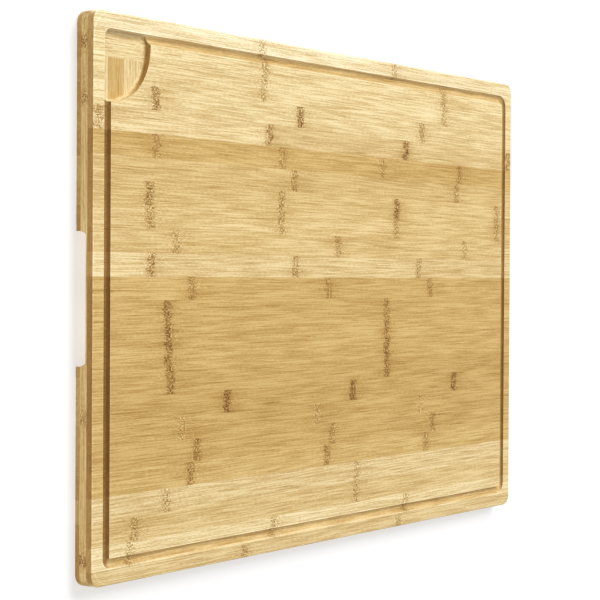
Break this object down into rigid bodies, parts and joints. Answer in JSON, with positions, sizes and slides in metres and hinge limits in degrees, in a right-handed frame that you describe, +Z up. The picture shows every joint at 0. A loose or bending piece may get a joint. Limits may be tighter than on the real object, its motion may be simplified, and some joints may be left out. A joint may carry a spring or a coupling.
{
  "type": "cutting board",
  "caption": "Rectangular cross-laminated bamboo cutting board with a juice groove, a corner pour well and a finger notch under each end.",
  "frame": {"origin": "centre of the underside, where the board rests", "axes": "+X along the length and the grain of the outer plies, +Y across the width, +Z up out of the cutting face; the pour well is at the -X +Y corner"},
  "size_m": [0.6096, 0.4064, 0.016],
  "materials": {
    "face_pale": "pale bamboo strip, sanded and lightly oiled, satin",
    "face_straw": "straw-coloured bamboo strip, sanded and lightly oiled, satin",
    "face_golden": "golden bamboo strip, sanded and lightly oiled, satin",
    "core": "crosswise bamboo slat, sanded where it shows at the edges",
    "back": "mixed pale and straw bamboo strip, sanded and lightly oiled, satin"
  },
  "bodies": {
    "root": {"face_strip_01": "face_pale", "face_strip_02": "face_pale", "face_strip_03": "face_pale", "face_strip_04": "face_pale", "face_strip_05": "face_pale", "face_strip_06": "face_straw", "face_strip_07": "face_straw", "face_strip_08": "face_straw", "face_strip_09": "face_straw", "face_strip_10": "face_straw", "face_strip_11": "face_pale", "face_strip_12": "face_golden", "face_strip_13": "face_golden", "face_strip_14": "face_golden", "face_strip_15": "face_golden", "face_strip_16": "face_golden", "face_strip_17": "face_golden", "face_strip_18": "face_golden", "face_strip_19": "face_golden", "face_strip_20": "face_golden", "face_strip_21": "face_straw", "face_strip_22": "face_pale", "face_strip_23": "face_pale", "face_strip_24": "face_pale", "core_slats_01": "core", "core_slats_02": "core", "core_slats_03": "core", "core_slats_04": "core", "core_slats_05": "core", "core_slats_06": "core", "core_slats_07": "core", "core_slats_08": "core", "core_slats_09": "core", "core_slats_10": "core", "core_slats_11": "core", "core_slats_12": "core", "back_strip_01": "back", "back_strip_02": "back", "back_strip_03": "back", "back_strip_04": "back", "back_strip_05": "back", "back_strip_06": "back", "back_strip_07": "back", "back_strip_08": "back", "back_strip_09": "back", "back_strip_10": "back", "back_strip_11": "back", "back_strip_12": "back", "back_strip_13": "back", "back_strip_14": "back", "back_strip_15": "back", "back_strip_16": "back", "back_strip_17": "back", "back_strip_18": "back", "back_strip_19": "back", "back_strip_20": "back", "back_strip_21": "back", "back_strip_22": "back", "back_strip_23": "back", "back_strip_24": "back"}
  },
  "joints": []
}
